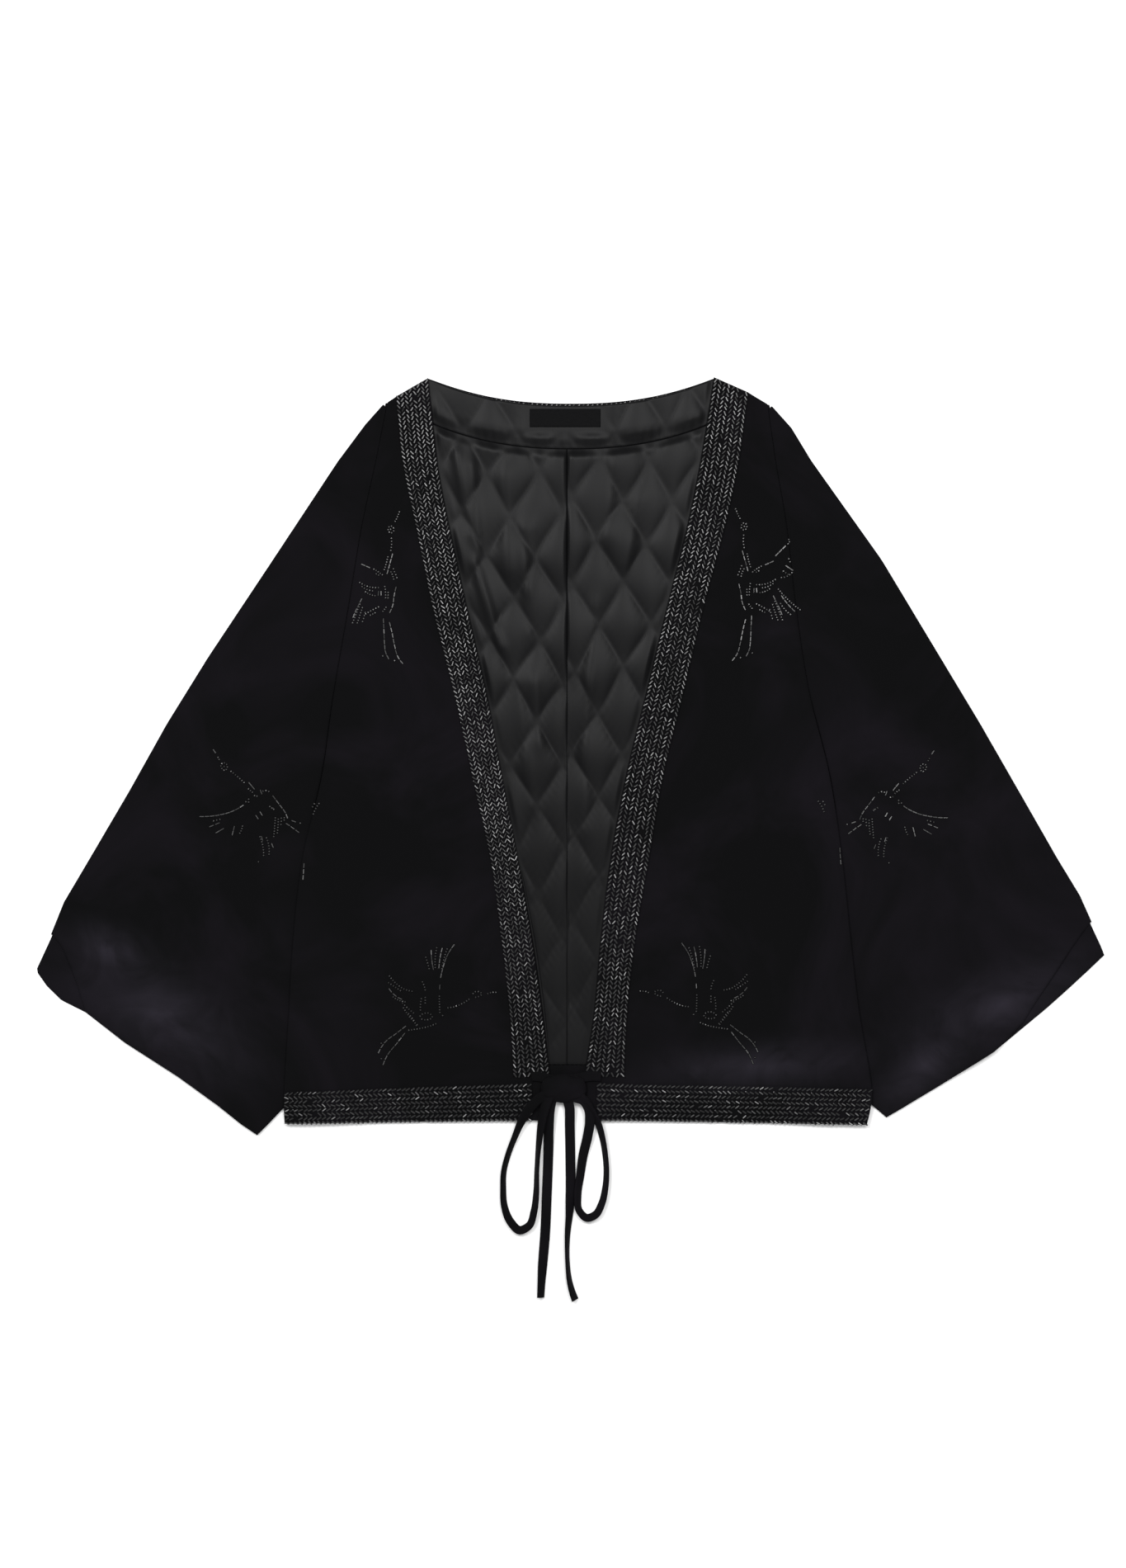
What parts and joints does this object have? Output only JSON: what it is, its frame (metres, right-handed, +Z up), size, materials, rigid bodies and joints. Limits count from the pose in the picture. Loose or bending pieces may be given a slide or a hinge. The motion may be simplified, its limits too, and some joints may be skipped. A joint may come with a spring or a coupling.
{
  "type": "quilted kimono jacket",
  "caption": "Cropped kimono jacket of black velvet with wide sleeves, bead trims, a quilted satin lining and a tied bow at the hem, laid flat.",
  "frame": {"origin": "on the floor under the middle of the jacket's outline, without its ties", "axes": "+X towards the wearer's left sleeve, +Y towards the neck, +Z up out of the jacket's front"},
  "size_m": [0.9065, 0.7825, 0.0142],
  "materials": {
    "velvet": "short dense pile with a soft sheen",
    "satin": "quilted satin with a soft gloss",
    "bead_trim": "velvet covered with rows of black glass beads",
    "label": "plain woven tape, left blank"
  },
  "bodies": {
    "root": {"back_panel": "velvet", "hem_trim_back": "bead_trim", "neck_trim_back": "bead_trim", "sleeve_left": "velvet", "sleeve_right": "velvet", "lining_back_left": "satin", "lining_back_right": "satin", "facing_back_neck": "satin", "facing_back_hem": "velvet", "label_blank": "label", "front_left": "velvet", "front_trim_left": "bead_trim", "hem_trim_left": "bead_trim", "front_right": "velvet", "front_trim_right": "bead_trim", "hem_trim_right": "bead_trim", "lining_front_left_edge": "satin", "bow_knot": "velvet", "tie_left_lead": "velvet", "tie_left_loop": "velvet", "tie_left_tail": "velvet", "tie_right_lead": "velvet", "tie_right_loop": "velvet", "tie_right_tail": "velvet"}
  },
  "joints": []
}
